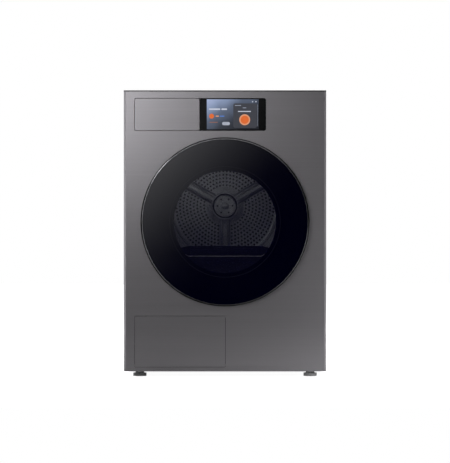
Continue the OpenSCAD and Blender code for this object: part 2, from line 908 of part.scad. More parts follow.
// The drawer's section: square at the top, cut away below by the drum's curve
module tank_section(left, right, low, high, curve_r) {
    difference() {
        translate([left, low]) square([right - left, high - low]);
        translate([0, drum_z]) circle(curve_r);
    }
}

module tank_housing() {
    left = recess_left - 3;
    right = fascia_right + 3.5;
    low = recess_low - 3;
    high = recess_top + 3;
    curve_front = front_y + 34;
    color("#cfcdc8") difference() {
        union() {
            along_y(curve_front, tank_back + 8) tank_section(left, right, low, high, tray_r);
            along_y(front_y + 14, curve_front)
                translate([left, low]) square([fascia_right + 1 - left, high - low]);
        }
        along_y(curve_front - 3, tank_back + 5.5)
            tank_section(left + 2, right - 2, low + 2, high - 2, tray_r + tray_t);
        along_y(front_y + 13, curve_front - 2)
            translate([left + 2, low + 2]) square([fascia_right - 1 - left - 2, high - low - 4]);
    }
}

module water_tank() {
    left = recess_left + 3;
    right = fascia_right - 3;
    low = recess_low + 3;
    high = recess_top - 3;
    wall = 2;
    curve_front = front_y + 28.5;
    color("#dfe3e6") difference() {
        union() {
            along_y(front_y + 10, curve_front) tank_section(left, right, low, high, 1);
            along_y(curve_front, tank_back) tank_section(left, right, low, high, tank_under_r);
        }
        along_y(front_y + 10 + wall, curve_front - wall)
            tank_section(left + wall, right - wall, low + wall, high - wall, 1);
        along_y(curve_front - wall - 1, tank_back - wall)
            tank_section(left + wall, right - wall, low + wall, high - wall, tank_under_r + wall);
        slab([left + 26, left + 54], [tank_back - 74, tank_back - 46], [high - wall - 1, high + 1]);
    }
}

module tank_fascia() {
    color("#75727b") difference() {
        along_y(front_y, front_y + 10) round_rect(recess_left + reveal, fascia_right - reveal / 2,
            recess_low + reveal, recess_top - reveal, 5);
        slab([recess_left + 6, fascia_right - 6], [front_y + 3, front_y + 8],
            [recess_low + 6, recess_top - 6]);
    }
}

// Push-push latches behind the drawer and behind the flap's free edge
module push_latches() {
    color("#e8e6e0") {
        slab([recess_left + 20, recess_left + 44], [tank_back + latch_travel + 0.2, tank_back + 5.5],
            [recess_top - 30, recess_top - 12]);
        slab([flap_left + flap_w / 2 - 9, flap_left + flap_w / 2 + 9],
            [front_y + flap_t + 0.5, inner_y + 0.5],
            [flap_low + flap_h - 8, flap_low + flap_h + 6]);
    }
}

module lint_filter() {
    body = [pocket_front + 3, pocket_back - 3];
    wall = 2;
    color("#161618") difference() {
        union() {
            slab([-filter_half, filter_half], body, [pocket_low + 12, lip_z]);
            translate([-filter_half, 0, 0]) rotate([90, 0, 90]) linear_extrude(2 * filter_half)
                polygon([
                    [pocket_front + 0.5, lip_z - 6], [pocket_back - 0.5, lip_z - 6],
                    [pocket_back - 0.5, filter_rear_z], [pocket_front + 0.5, lip_z + 2]
                ]);
        }
        slab([-filter_half + 8, filter_half - 8], [body[0] + wall, body[1] - wall],
            [pocket_low + 14, lip_z - 12]);
        for (x = [-90:15:82])
            slab([x, x + 8], [body[0] - 1, body[1] + 1], [pocket_low + 24, lip_z - 20]);
    }
}

module service_flap() {
    left = flap_left + flap_gap;
    right = flap_left + flap_w - flap_gap;
    low = flap_low + flap_gap;
    high = flap_low + flap_h - flap_gap;
    wall = 3;
    color("#64626a") difference() {
        slab([left, right], [front_y, front_y + flap_t], [low, high]);
        slab([left + wall, right - wall], [front_y + wall, front_y + flap_t + 1],
            [low + 12, high - wall]);
        bar_x(left - 1, left + 14, flap_axis_y, flap_axis_z, 2 + fit);
        bar_x(right - 14, right + 1, flap_axis_y, flap_axis_z, 2 + fit);
    }
}

// ---------------------------------------------------------------- assembly

front_panel();
side_panel(-1);  // side_panel_left
side_panel(1);  // side_panel_right
top_cover();
rear_panel();
rear_duct_cover();
base_pan();
door_surround();
front_bulkhead();
drum_seals();
rear_bulkhead();
rear_bearing();
display_bezel();
display_screen();
tank_housing();
push_latches();
door_catch();
door_hinge_bracket();
drum_belt();
motor();
compressor();
refrigerant_pipes();
evaporator();
condenser();
hx_duct();
hx_cover();
blower_housing();
condensate_pump();
moisture_sensor();
cable_gland();
drain_spigot();
rear_screws();
door_glass();
door_ring();
door_frame();
door_liner();
door_window();
door_seal();
door_hinge_leaf();
drum_shell();
drum_back();
drum_lifters();
drum_shaft();
hub_cap();
motor_shaft();
blower_wheel();
idler_arm();
idler_pulley();
roller(-1);  // roller_left
roller(1);  // roller_right
tank_fascia();
water_tank();
lint_filter();
service_flap();
hx_latch(latch_x[0]);  // hx_latch_left
hx_latch(latch_x[1]);  // hx_latch_right
foot(-foot_x, foot_front_y);  // foot_front_left
foot(foot_x, foot_front_y);  // foot_front_right
foot(-foot_x, foot_back_y);  // foot_rear_left
foot(foot_x, foot_back_y);  // foot_rear_right
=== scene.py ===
import json
import math

import bmesh
import bpy
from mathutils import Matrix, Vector

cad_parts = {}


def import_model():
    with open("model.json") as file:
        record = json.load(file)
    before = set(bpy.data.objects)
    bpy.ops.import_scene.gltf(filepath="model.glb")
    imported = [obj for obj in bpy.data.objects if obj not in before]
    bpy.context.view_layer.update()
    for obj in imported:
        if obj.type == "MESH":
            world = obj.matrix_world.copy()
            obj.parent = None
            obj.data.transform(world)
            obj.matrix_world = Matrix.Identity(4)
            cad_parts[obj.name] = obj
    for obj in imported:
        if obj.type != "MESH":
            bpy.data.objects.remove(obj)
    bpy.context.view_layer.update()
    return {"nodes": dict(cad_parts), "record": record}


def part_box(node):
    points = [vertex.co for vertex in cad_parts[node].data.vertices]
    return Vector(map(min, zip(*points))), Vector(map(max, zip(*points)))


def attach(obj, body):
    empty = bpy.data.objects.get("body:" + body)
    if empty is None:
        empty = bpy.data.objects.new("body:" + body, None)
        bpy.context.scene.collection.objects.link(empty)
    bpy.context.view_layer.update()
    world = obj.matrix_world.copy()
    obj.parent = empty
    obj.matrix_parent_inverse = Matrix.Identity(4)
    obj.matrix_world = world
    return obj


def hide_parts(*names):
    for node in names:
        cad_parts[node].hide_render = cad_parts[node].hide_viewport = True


# A freestanding clothes dryer. Metres, +Z up, front towards -Y.
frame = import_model()
nodes = frame["nodes"]

MM = 0.001
TAU = 2 * math.pi


# ------------------------------------------------------------------ places taken from the frame

def middle(node):
    low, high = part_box(node)
    return (low + high) / 2


front_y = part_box("front_panel")[0].y
cover_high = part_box("top_cover")[1]
plate_low, plate_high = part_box("drum_back")
shell_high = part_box("drum_shell")[1]
screen_low, screen_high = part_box("display_screen")
filter_low, filter_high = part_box("lint_filter")

bowl_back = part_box("door_liner")[1].y
door_z = middle("door_glass").z
drum_z = middle("drum_shell").z


# ------------------------------------------------------------------ node helpers

class Shader:
    """A material with one Principled shader, and short calls that add nodes to it."""

    def __init__(self, name, colour, roughness=0.5, metallic=0.0, **sockets):
        self.material = bpy.data.materials.new(name)
        self.material.use_nodes = True
        self.tree = self.material.node_tree
        self.bsdf = self.tree.nodes["Principled BSDF"]
        self.put("Base Color", (*colour, 1.0))
        self.put("Roughness", roughness)
        self.put("Metallic", metallic)
        for socket, value in sockets.items():
            self.put(socket.replace("_", " "), value)
        self.material.diffuse_color = (*colour, 1.0)
        self.place = self.node("ShaderNodeTexCoord").outputs["Object"]

    def put(self, socket, value):
        self.bsdf.inputs[socket].default_value = value

    def node(self, kind, **settings):
        made = self.tree.nodes.new(kind)
        for key, value in settings.items():
            setattr(made, key, value)
        return made

    def join(self, source, target):
        self.tree.links.new(source, target)

    def stretched(self, scale):
        mapping = self.node("ShaderNodeMapping")
        mapping.inputs["Scale"].default_value = scale
        self.join(self.place, mapping.inputs["Vector"])
        return mapping.outputs["Vector"]

    def noise(self, scale, detail=3.0, vector=None, roughness=0.55):
        made = self.node("ShaderNodeTexNoise")
        made.inputs["Scale"].default_value = scale
        made.inputs["Detail"].default_value = detail
        made.inputs["Roughness"].default_value = roughness
        self.join(vector or self.place, made.inputs["Vector"])
        return made.outputs["Fac"]

    def math(self, operation, first, second=0.0):
        made = self.node("ShaderNodeMath", operation=operation)
        for k, value in enumerate((first, second)):
            if isinstance(value, (int, float)):
                made.inputs[k].default_value = value
            else:
                self.join(value, made.inputs[k])
        return made.outputs[0]

    def spread(self, source, low, high, start=0.0, end=1.0):
        """source, from start to end, becomes low to high."""
        made = self.node("ShaderNodeMapRange")
        for key, value in (("From Min", start), ("From Max", end), ("To Min", low), ("To Max", high)):
            made.inputs[key].default_value = value
        self.join(source, made.inputs["Value"])
        return made.outputs["Result"]

    def ramp(self, source, stops):
        made = self.node("ShaderNodeValToRGB")
        elements = made.color_ramp.elements
        while len(elements) < len(stops):
            elements.new(0.5)
        for element, (where, colour) in zip(elements, stops):
            element.position = where
            element.color = (*colour, 1.0)
        self.join(source, made.inputs["Fac"])
        return made.outputs["Color"]

    def mix(self, factor, first, second):
        made = self.node("ShaderNodeMix", data_type="RGBA")
        self.join(factor, made.inputs[0])
        for k, value in ((6, first), (7, second)):
            if isinstance(value, tuple):
                made.inputs[k].default_value = (*value, 1.0)
            else:
                self.join(value, made.inputs[k])
        return made.outputs[2]

    def axes(self):
        made = self.node("ShaderNodeSeparateXYZ")
        self.join(self.place, made.inputs[0])
        return made.outputs

    def radius(self, x, z):
        """Distance from an axis along Y."""
        parts = self.axes()
        across = self.math("POWER", self.math("SUBTRACT", parts[0], x), 2.0)
        up = self.math("POWER", self.math("SUBTRACT", parts[2], z), 2.0)
        return self.math("SQRT", self.math("ADD", across, up))

    def bump(self, height, distance, strength=1.0):
        made = self.node("ShaderNodeBump")
        made.inputs["Distance"].default_value = distance
        made.inputs["Strength"].default_value = strength
        self.join(height, made.inputs["Height"])
        if self.bsdf.inputs["Normal"].is_linked:
            self.join(self.bsdf.inputs["Normal"].links[0].from_socket, made.inputs["Normal"])
        self.join(made.outputs["Normal"], self.bsdf.inputs["Normal"])

    def vary(self, colour, amount, scale, detail=3.0, vector=None):
        """The base colour drifts lighter and darker by amount."""
        dark = tuple(c * (1 - amount) for c in colour)
        light = tuple(min(1.0, c * (1 + amount)) for c in colour)
        shade = self.ramp(self.noise(scale, detail, vector), [(0.3, dark), (0.7, light)])
        self.join(shade, self.bsdf.inputs["Base Color"])

    def rough(self, low, high, scale, detail=3.0, vector=None):
        result = self.spread(self.noise(scale, detail, vector), low, high, 0.3, 0.7)
        self.join(result, self.bsdf.inputs["Roughness"])


# ------------------------------------------------------------------ materials

def brushed(name, colour, roughness, grain=(2.0, 2.0, 1300.0), depth=0.000012, anisotropy=0.45):
    """Steel with fine straight brushing; the grain's smallest scale is along the brushing."""
    s = Shader(name, colour, roughness, 1.0, Anisotropic=anisotropy)
    lines = s.stretched(grain)
    s.vary(colour, 0.05, 1.0, 4.0, lines)
    s.rough(roughness - 0.04, roughness + 0.05, 1.0, 4.0, lines)
    s.bump(s.noise(1.0, 4.0, lines), depth)
    s.bump(s.noise(3.0, 2.0), 0.0006, 0.25)
    tangent = s.node("ShaderNodeTangent", direction_type="RADIAL", axis="Z")
    s.join(tangent.outputs[0], s.bsdf.inputs["Tangent"])
    return s.material


def sheet_metal(name, colour, roughness=0.38):
    """Zinc-coated sheet with its faint spangle."""
    s = Shader(name, colour, roughness, 1.0)
    cells = s.node("ShaderNodeTexVoronoi", feature="F1")
    cells.inputs["Scale"].default_value = 90.0
    s.join(s.place, cells.inputs["Vector"])
    grey = s.node("ShaderNodeSeparateColor")
    s.join(cells.outputs["Color"], grey.inputs[0])
    dark = tuple(c * 0.9 for c in colour)
    s.join(s.ramp(grey.outputs[0], [(0.0, dark), (1.0, colour)]), s.bsdf.inputs["Base Color"])
    s.join(s.spread(grey.outputs[1], roughness - 0.03, roughness + 0.04), s.bsdf.inputs["Roughness"])
    s.bump(s.noise(14.0, 1.0), 0.0004, 0.15)
    return s.material


def powder_coat(name, colour, roughness=0.42):
    s = Shader(name, colour, roughness, 0.0, Coat_Weight=0.15, Coat_Roughness=0.3)
    s.vary(colour, 0.06, 6.0)
    s.rough(roughness - 0.04, roughness + 0.06, 40.0)
    s.bump(s.noise(2600.0, 2.0), 0.00003, 0.6)
    s.bump(s.noise(160.0, 2.0), 0.00006, 0.5)
    return s.material


def moulded(name, colour, roughness=0.45, texture=1500.0, depth=0.00004, shine=0.5):
    """Plastic with a fine spark-eroded texture."""
    s = Shader(name, colour, roughness, Specular_IOR_Level=shine)
    s.vary(colour, 0.07, 25.0)
    s.rough(roughness - 0.05, roughness + 0.07, 60.0)
    s.bump(s.noise(texture, 2.0), depth, 0.6)
    return s.material


def glossy_black(name):
    s = Shader(name, (0.002, 0.002, 0.003), 0.08, Specular_IOR_Level=0.14)
    s.rough(0.06, 0.12, 9.0)
    s.vary((0.002, 0.002, 0.003), 0.2, 12.0)
    s.bump(s.noise(7.0, 2.0), 0.0001, 0.08)
    return s.material


def rubber(name, colour=(0.012, 0.012, 0.013), roughness=0.7):
    s = Shader(name, colour, roughness, Sheen_Weight=0.1)
    s.vary(colour, 0.2, 70.0)
    s.bump(s.noise(900.0, 3.0), 0.00005, 0.7)
    return s.material


def felt_cloth(name):
    colour = (0.42, 0.38, 0.31)
    s = Shader(name, colour, 0.95, Sheen_Weight=0.4, Sheen_Roughness=0.6)
    s.vary(colour, 0.22, 500.0, 5.0)
    s.bump(s.noise(1400.0, 5.0), 0.0005, 0.9)
    return s.material


def copper_tube(name):
    colour = (0.72, 0.33, 0.19)
    s = Shader(name, colour, 0.28, 1.0)
    s.vary(colour, 0.16, 30.0)
    s.rough(0.2, 0.42, 50.0)
    return s.material


def cast(name, colour, roughness=0.35):
    """Enamel over a rough casting or deep-drawn can."""
    s = Shader(name, colour, roughness, 0.0, Coat_Weight=0.6, Coat_Roughness=0.15)
    s.vary(colour, 0.15, 40.0)
    s.bump(s.noise(320.0, 4.0), 0.00025, 0.6)
    return s.material


def turned_steel(name, colour=(0.5, 0.5, 0.51), roughness=0.3):
    s = Shader(name, colour, roughness, 1.0)
    rings = s.stretched((300.0, 1800.0, 300.0))
    s.vary(colour, 0.08, 1.0, 3.0, rings)
    s.rough(roughness - 0.08, roughness + 0.1, 120.0)
    s.bump(s.noise(1.0, 3.0, rings), 0.00001)
    return s.material


def ring_metal(name):
    """The door's satin ring: dark chrome."""
    colour = (0.30, 0.30, 0.315)
    s = Shader(name, colour, 0.14, 1.0)
    s.vary(colour, 0.05, 30.0)
    s.rough(0.11, 0.17, 90.0)
    return s.material


def door_glass_material(name):
    """One sheet of glass: printed black outside the clear middle, tinted inside it."""
    s = Shader(name, (0.0004, 0.0004, 0.005), 0.05, Specular_IOR_Level=0.42)
    window = 0.151
    border = 0.163
    soft_edge = 0.8 * MM
    line_half = 1.1 * MM
    distance = s.radius(0.0, door_z)
    printed = s.spread(distance, 0.0, 1.0, window - soft_edge, window + soft_edge)
    off_line = s.math("DIVIDE", s.math("ABSOLUTE", s.math("SUBTRACT", distance, border)), line_half)
    line = s.math("SUBTRACT", 1.0, s.math("MINIMUM", off_line, 1.0))
    ink = s.mix(printed, (0.004, 0.004, 0.034), (0.0003, 0.0003, 0.0095))
    s.join(s.mix(s.math("MULTIPLY", line, 0.5), ink, (0.03, 0.03, 0.036)), s.bsdf.inputs["Base Color"])
    s.join(s.spread(printed, 0.30, 1.0), s.bsdf.inputs["Alpha"])
    s.rough(0.04, 0.08, 5.0)
    s.bump(s.noise(4.0, 2.0), 0.0002, 0.05)
    return s.material


def bowl_glass_material(name):
    s = Shader(name, (0.05, 0.05, 0.055), 0.06, Alpha=0.10, Specular_IOR_Level=0.3)
    s.vary((0.05, 0.05, 0.055), 0.15, 12.0)
    s.rough(0.04, 0.09, 8.0)
    return s.material


def tank_plastic(name):
    colour = (0.62, 0.65, 0.67)
    s = Shader(name, colour, 0.4, Transmission_Weight=0.25, Subsurface_Weight=0.15)
    s.vary(colour, 0.04, 14.0)
    s.bump(s.noise(1100.0, 2.0), 0.00003, 0.5)
    return s.material


def screen_material(name):
    """A lit panel: blue light at the upper left that falls to dark slate at the right and bottom."""
    s = Shader(name, (0.01, 0.011, 0.014), 0.12, Specular_IOR_Level=0.3)
    parts = s.axes()
    width = screen_high.x - screen_low.x
    height = screen_high.z - screen_low.z
    across = s.math("DIVIDE", s.math("SUBTRACT", parts[0], screen_low.x), width)
    down = s.math("DIVIDE", s.math("SUBTRACT", screen_high.z, parts[2]), height)
    drift = s.math("ADD", s.math("MULTIPLY", across, 0.62), s.math("MULTIPLY", down, 0.62))
    wave = s.math("MULTIPLY", s.math("SUBTRACT", s.noise(22.0, 2.0), 0.5), 0.22)
    picture = s.ramp(s.math("ADD", drift, wave), [
        (0.02, (0.42, 0.50, 0.74)), (0.22, (0.26, 0.33, 0.50)), (0.45, (0.11, 0.14, 0.21)),
        (0.72, (0.030, 0.036, 0.052)), (0.96, (0.010, 0.011, 0.016))])
    s.join(picture, s.bsdf.inputs["Emission Color"])
    s.put("Emission Strength", 0.85)
    return s.material


def glow(name, colour, strength=0.9):
    """A lit shape on the screen."""
    s = Shader(name, tuple(c * 0.1 for c in colour), 0.3)
    shade = s.ramp(s.noise(160.0, 2.0), [(0.2, tuple(c * 0.86 for c in colour)), (0.8, colour)])
    s.join(shade, s.bsdf.inputs["Emission Color"])
    s.put("Emission Strength", strength)
    return s.material


def drum_sheet(name):
    """Stainless drum sheet with rolled dimples."""
    colour = (0.40, 0.41, 0.425)
    s = Shader(name, colour, 0.45, 1.0)
    s.vary(colour, 0.06, 40.0)
    s.rough(0.40, 0.52, 60.0)
    dots = s.node("ShaderNodeTexVoronoi", feature="F1")
    dots.inputs["Scale"].default_value = 60.0
    dots.inputs["Randomness"].default_value = 0.0
    s.join(s.place, dots.inputs["Vector"])
    s.bump(s.spread(dots.outputs["Distance"], 1.0, 0.0, 0.1, 0.35), 0.0006, 0.5)
    return s.material


MATERIAL = {
    "dark_steel": brushed("dark_steel", (0.43, 0.415, 0.44), 0.34),
    "cabinet_paint": powder_coat("cabinet_paint", (0.055, 0.055, 0.06)),
    "top_paint": powder_coat("top_paint", (0.06, 0.06, 0.065), 0.38),
    "zinc_sheet": sheet_metal("zinc_sheet", (0.52, 0.53, 0.54)),
    "zinc_steel": sheet_metal("zinc_steel", (0.46, 0.46, 0.47), 0.32),
    "bright_steel": turned_steel("bright_steel"),
    "drum_steel": drum_sheet("drum_steel"),
    "base_plastic": moulded("base_plastic", (0.022, 0.022, 0.024), 0.5),
    "dark_plastic": moulded("dark_plastic", (0.004, 0.004, 0.005), 0.7, shine=0.12),
    "light_plastic": moulded("light_plastic", (0.60, 0.59, 0.56), 0.42),
    "gloss_black": glossy_black("gloss_black"),
    "screen_glass": screen_material("screen_glass"),
    "door_glass": door_glass_material("door_glass"),
    "window_glass": bowl_glass_material("window_glass"),
    "ring_chrome": ring_metal("ring_chrome"),
    "felt": felt_cloth("felt"),
    "seal_rubber": rubber("seal_rubber"),
    "belt_rubber": rubber("belt_rubber", (0.015, 0.015, 0.015)),
    "roller_rubber": rubber("roller_rubber", (0.02, 0.02, 0.02)),
    "bronze": turned_steel("bronze", (0.55, 0.38, 0.17), 0.35),
    "copper": copper_tube("copper"),
    "black_paint": cast("black_paint", (0.012, 0.012, 0.013)),
    "fins": brushed("fins", (0.68, 0.69, 0.71), 0.32, (900.0, 2.0, 2.0)),
    "tank_plastic": tank_plastic("tank_plastic"),
    "filter_plastic": moulded("filter_plastic", (0.006, 0.006, 0.0075), 0.5, shine=0.3),
    "latch_plastic": moulded("latch_plastic", (0.03, 0.12, 0.33), 0.38),
    "foot_plastic": rubber("foot_plastic", (0.68, 0.68, 0.69)),
}


def finish_cad_nodes():
    """Every CAD node that stays visible gets its slot's material and softened edges."""
    sharp = {"door_glass", "door_window", "display_screen", "drum_belt", "blower_wheel", "drum_shell"}
    flush = {"service_flap", "tank_fascia"}
    for entry in frame["record"]["subparts"]:
        piece = nodes[entry["node"]]
        piece.data.materials.clear()
        piece.data.materials.append(MATERIAL[entry["material_slot"]])
        if entry["node"] not in sharp:
            bevel = piece.modifiers.new("soft_edges", "BEVEL")
            bevel.width = (1.1 if entry["node"] in flush else 0.5) * MM
            bevel.segments = 2
            bevel.limit_method = "ANGLE"
            bevel.angle_limit = math.radians(40)
            bevel.use_clamp_overlap = True


finish_cad_nodes()


# ------------------------------------------------------------------ mesh helpers

def piece(name, bm, material, body, *replaced, smooth_angle=35.0, slot=None):
    """A finished mesh that rides on a body and may stand for CAD nodes."""
    bmesh.ops.remove_doubles(bm, verts=bm.verts, dist=1e-6)
    bmesh.ops.recalc_face_normals(bm, faces=bm.faces)
    mesh = bpy.data.meshes.new(name)
    bm.to_mesh(mesh)
    bm.free()
    mesh.materials.append(MATERIAL[material] if isinstance(material, str) else material)
    made = bpy.data.objects.new(name, mesh)
    bpy.context.scene.collection.objects.link(made)
    mesh.shade_smooth()
    mesh.set_sharp_from_angle(angle=math.radians(smooth_angle))
    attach(made, body)
    if replaced:
        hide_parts(*replaced)
    return made


def lathe(bm, profile, x, z, steps=128, start=0.0, sweep=TAU):
    """Turns (radius, y) points about an axis along Y. A closed profile gives a closed solid."""
    full = abs(sweep - TAU) < 1e-6
    rings = []
    for k in range(steps if full else steps + 1):
        angle = start + sweep * k / steps
        c, s = math.cos(angle), math.sin(angle)
        rings.append([bm.verts.new((x + r * c, y, z + r * s)) for r, y in profile])
    count = len(profile)
    for k in range(steps):
        a, b = rings[k], rings[(k + 1) % len(rings)]
        for j in range(count):
            n = (j + 1) % count
            corners = [a[j], a[n], b[n], b[j]]
            bm.faces.new(corners)
    if not full:
        bm.faces.new(rings[0])
        bm.faces.new(list(reversed(rings[-1])))


def outline_solid(bm, points, y0, y1):
    """A closed outline in X and Z, with a thickness along Y."""
    front = [bm.verts.new((x, y0, z)) for x, z in points]
    back = [bm.verts.new((x, y1, z)) for x, z in points]
    bm.faces.new(front)
    bm.faces.new(list(reversed(back)))
    for k in range(len(points)):
        n = (k + 1) % len(points)
        bm.faces.new([front[k], back[k], back[n], front[n]])


def rounded(x0, x1, z0, z1, r, steps=8):
    """The outline of a rectangle with round corners, anticlockwise."""
    points = []
    corners = ((x1 - r, z1 - r, 0), (x0 + r, z1 - r, 1), (x0 + r, z0 + r, 2), (x1 - r, z0 + r, 3))
    for cx, cz, quarter in corners:
        for k in range(steps + 1):
            angle = (quarter + k / steps) * math.pi / 2
            points.append((cx + r * math.cos(angle), cz + r * math.sin(angle)))
    return points


# ------------------------------------------------------------------ drum, as seen through the door

DRUM_PLATE_Y = plate_low.y + 0.006
HOLE_RADIUS = 3.2 * MM
HOLE_PITCH = 11.3 * MM
FIRST_ROW = 0.068
ROWS = 9
SPOKE_HALF = 0.0165
PLATE_RADIUS = (plate_high.x - plate_low.x) / 2
SPOKE_ANGLES = [math.radians(a) for a in (-90, 30, 150)]


def holed_cell(bm, r0, r1, a0, a1, y, thick, sides=12):
    """One cell of the plate, between two radii and two angles, with a round hole in its middle."""
    r_mid, a_mid = (r0 + r1) / 2, (a0 + a1) / 2
    half_r, half_a = (r1 - r0) / 2, (a1 - a0) / 2
    cx, cz = r_mid * math.cos(a_mid), r_mid * math.sin(a_mid)
    out = (math.cos(a_mid), math.sin(a_mid))
    along = (-out[1], out[0])
    edge, hole = [], []
    for k in range(sides):
        turn = TAU * (k + 0.5) / sides
        c, s = math.cos(turn), math.sin(turn)
        reach = 1 / max(abs(c), abs(s))
        r = r_mid + half_r * c * reach
        a = a_mid + half_a * s * reach
        edge.append((r * math.cos(a), r * math.sin(a)))
        hole.append((cx + HOLE_RADIUS * (c * out[0] + s * along[0]),
                     cz + HOLE_RADIUS * (c * out[1] + s * along[1])))
    outer = [bm.verts.new((x, y, drum_z + z)) for x, z in edge]
    rim = [bm.verts.new((x, y, drum_z + z)) for x, z in hole]
    deep = [bm.verts.new((x, y + thick, drum_z + z)) for x, z in hole]
    for k in range(sides):
        n = (k + 1) % sides
        bm.faces.new([outer[k], outer[n], rim[n], rim[k]])
        bm.faces.new([rim[k], rim[n], deep[n], deep[k]])


def perforated_plate():
    """The drum's rear plate: three sectors of fine holes between the spokes."""
    bm = bmesh.new()
    thick = 1.2 * MM
    for spoke in SPOKE_ANGLES:
        for row in range(ROWS):
            r0 = FIRST_ROW + row * HOLE_PITCH - HOLE_PITCH / 2
            r1 = r0 + HOLE_PITCH
            r_mid = (r0 + r1) / 2
            edge = math.asin(SPOKE_HALF / r_mid)
            first, last = spoke + edge, spoke + TAU / 3 - edge
            count = max(2, round((last - first) * r_mid / HOLE_PITCH))
            for k in range(count):
                a0 = first + (last - first) * k / count
                a1 = first + (last - first) * (k + 1) / count
                holed_cell(bm, r0, r1, a0, a1, DRUM_PLATE_Y, thick)
    piece("drum_plate_holes", bm, "drum_steel", "drum", smooth_angle=30)


def drum_rear():
    """Hub cone, spokes with double ridges, and the rim of the rear plate."""
    bm = bmesh.new()
    last_row = FIRST_ROW + (ROWS - 0.5) * HOLE_PITCH
    first_row = FIRST_ROW - HOLE_PITCH / 2
    y = DRUM_PLATE_Y
    centre = Vector((0, 0, drum_z))
    lathe(bm, [(last_row, y), (last_row + 0.002, y - 0.001), (PLATE_RADIUS - 0.004, y - 0.001),
               (PLATE_RADIUS, y + 0.002), (PLATE_RADIUS, y + 0.004), (last_row, y + 0.0015)], 0.0, drum_z)
    lathe(bm, [(0.040, y - 0.0030), (0.049, y - 0.0016), (first_row, y), (first_row, y + 0.0015),
               (0.040, y + 0.0015)], 0.0, drum_z)
    for angle in SPOKE_ANGLES:
        out = Vector((math.cos(angle), 0, math.sin(angle)))
        side = Vector((-math.sin(angle), 0, math.cos(angle)))
        section = [(-0.0168, 0.0), (-0.0155, -0.0040), (-0.0130, -0.0062), (-0.0085, -0.0062),
                   (-0.0055, -0.0004), (0.0055, -0.0004), (0.0085, -0.0062), (0.0130, -0.0062),
                   (0.0155, -0.0040), (0.0168, 0.0), (0.0168, 0.001), (-0.0168, 0.001)]
        rings = []
        for r, lift in ((0.042, 1.0), (0.060, 1.0), (0.150, 1.0), (0.164, 0.75), (0.170, 0.2)):
            rings.append([bm.verts.new(centre + out * r + side * across + Vector((0, y + depth * lift, 0)))
                          for across, depth in section])
        for a, b in zip(rings, rings[1:]):
            for k in range(len(section)):
                n = (k + 1) % len(section)
                bm.faces.new([a[k], a[n], b[n], b[k]])
        bm.faces.new(rings[0])
        bm.faces.new(list(reversed(rings[-1])))
    piece("drum_rear_pressing", bm, "drum_steel", "drum", "drum_back", smooth_angle=50)


def drum_hub():
    """The cap over the shaft: a grooved raised ring, a sunk disc with screw holes and a small boss."""
    bm = bmesh.new()
    low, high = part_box("hub_cap")
    front = low.y
    radius = (high.x - low.x) / 2
    lathe(bm, [(0.0335, front + 0.003), (0.0345, front + 0.0006), (0.0355, front + 0.0004),
               (0.0362, front + 0.003), (0.0402, front + 0.003), (0.0407, front), (0.0440, front),
               (radius, front + 0.002), (radius, high.y), (0.0335, high.y)], 0.0, drum_z)
    sunk = front + 0.0035
    hole_ring = 0.0245
    screws = 6
    for k in range(screws):
        a0 = TAU * (k - 0.5) / screws
        a1 = TAU * (k + 0.5) / screws
        hub_hole(bm, 0.0175, 0.0315, a0, a1, sunk, hole_ring)
    lathe(bm, [(0.0315, sunk), (0.0335, sunk), (0.0335, sunk + 0.002), (0.0315, sunk + 0.002)], 0.0, drum_z)
    lathe(bm, [(0.0005, sunk - 0.0022), (0.0092, sunk - 0.0022), (0.0112, sunk - 0.0012), (0.0116, sunk),
               (0.0175, sunk), (0.0175, sunk + 0.003), (0.0005, sunk + 0.003)], 0.0, drum_z, 64)
    piece("drum_hub_cap", bm, "drum_steel", "drum", "hub_cap", smooth_angle=40)
    # A dark ring set in the groove: painted shade in the groove.
    groove = bmesh.new()
    lathe(groove, [(0.0365, front - 0.0002), (0.0396, front - 0.0002), (0.0396, front + 0.002),
                   (0.0365, front + 0.002)], 0.0, drum_z)
    piece("drum_hub_groove_painted_shade", groove, "dark_plastic", "drum")
    # A dark disc in each screw hole: painted shade in the holes.
    for k in range(screws):
        angle = TAU * k / screws
        bottom = bmesh.new()
        lathe(bottom, [(0.0001, sunk + 0.0012), (0.0029, sunk + 0.0012), (0.0029, sunk + 0.0022),
                       (0.0001, sunk + 0.0022)],
              hole_ring * math.cos(angle), drum_z + hole_ring * math.sin(angle), 20)
        piece("drum_hub_screw_%d" % k, bottom, "dark_plastic", "drum")


def hub_hole(bm, r0, r1, a0, a1, y, ring, sides=24):
    """A wide cell of the hub disc with one screw hole."""
    a_mid = (a0 + a1) / 2
    centre = (ring * math.cos(a_mid), ring * math.sin(a_mid))
    out = (math.cos(a_mid), math.sin(a_mid))
    along = (-out[1], out[0])
    radius = 0.0030
    outer, rim, deep = [], [], []
    for k in range(sides):
        turn = TAU * (k + 0.5) / sides
        c, s = math.cos(turn), math.sin(turn)
        reach = 1 / max(abs(c), abs(s))
        r = ring + (c * reach) * ((r1 - ring) if c > 0 else (ring - r0))
        a = a_mid + (a1 - a0) / 2 * s * reach
        outer.append(bm.verts.new((r * math.cos(a), y, drum_z + r * math.sin(a))))
        x = centre[0] + radius * (c * out[0] + s * along[0])
        z = centre[1] + radius * (c * out[1] + s * along[1])
        rim.append(bm.verts.new((x, y, drum_z + z)))
        deep.append(bm.verts.new((x, y + 0.0025, drum_z + z)))
    for k in range(sides):
        n = (k + 1) % sides
        bm.faces.new([outer[k], outer[n], rim[n], rim[k]])
        bm.faces.new([rim[k], rim[n], deep[n], deep[k]])
    bm.faces.new(deep)


def drum_dark_void():
    """A dark disc behind the perforated plate: painted shade for the dark space behind it, so that its
    holes look deep.
    """
    bm = bmesh.new()
    y = shell_high.y - 0.0016
    lathe(bm, [(0.012, y - 0.0008), (PLATE_RADIUS + 0.001, y - 0.0008), (PLATE_RADIUS + 0.001, y),
               (0.012, y)], 0.0, drum_z)
    # The disc is painted shade: a dark sheet where only shade would be.
    piece("drum_hole_painted_shade", bm, "dark_plastic", "drum", slot="dark_plastic")


